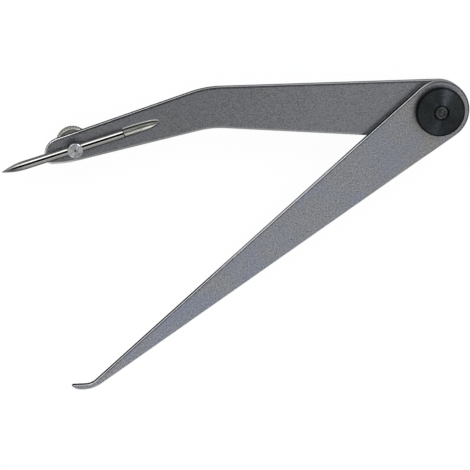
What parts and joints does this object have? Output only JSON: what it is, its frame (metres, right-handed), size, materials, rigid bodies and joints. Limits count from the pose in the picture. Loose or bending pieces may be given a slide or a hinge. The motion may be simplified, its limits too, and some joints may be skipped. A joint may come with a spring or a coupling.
{
  "type": "odd leg caliper",
  "caption": "Firm joint odd leg caliper: a straight hooked leg and a bent leg with a sliding scriber held in a groove by a cross-drilled stud and a knurled thumb nut.",
  "frame": {"origin": "on the pivot axis, at the flat back of the joint", "axes": "+Z along the pivot axis towards the work side, -X along the legs towards the scriber, +Y away from the hook leg"},
  "size_m": [0.1588, 0.1046, 0.0167],
  "materials": {
    "leg_steel": "fine ground and satin, slightly bluish grey",
    "black_steel": "turned and chemically blackened",
    "washer_bronze": "thin rolled strip",
    "spring_steel": "oiled spring steel",
    "bright_steel": "ground and polished",
    "nut_steel": "turned and knurled, dull bright"
  },
  "bodies": {
    "scriber_arm": {"scriber_leg": "leg_steel", "front_pivot_disc": "black_steel", "back_pivot_disc": "black_steel", "pivot_rivet": "black_steel", "leg_friction_washer": "washer_bronze", "joint_spring_washer": "spring_steel", "nut_washer": "nut_steel"},
    "hook_arm": {"hook_leg": "leg_steel"},
    "nut": {"thumb_nut": "nut_steel"},
    "stud": {"clamp_stud": "bright_steel"},
    "scriber_rod": {"scriber": "bright_steel"}
  },
  "joints": [
    {"name": "leg_pivot", "type": "hinge", "parent": "scriber_arm", "child": "hook_arm", "pos_m": [0, 0, 0.0055], "axis": [0, 0, 1], "range_deg": [-28.5, 319]},
    {"name": "nut_spin", "type": "hinge", "parent": "scriber_arm", "child": "nut", "pos_m": [-0.12387, -0.00945, -0.004], "axis": [0, 0, -1], "range_deg": [0, 541]},
    {"name": "clamp_lift", "type": "slide", "parent": "scriber_arm", "child": "stud", "axis": [0, 0, 1], "range_m": [0, 0.00075]},
    {"name": "scriber_slide", "type": "slide", "parent": "stud", "child": "scriber_rod", "axis": [-0.9598, -0.2807, 0], "range_m": [-0.0035, 0.012]}
  ],
  "couplings": [
    {"joint": "nut_spin", "follows": "clamp_lift", "rad_per_m": 12566}
  ]
}
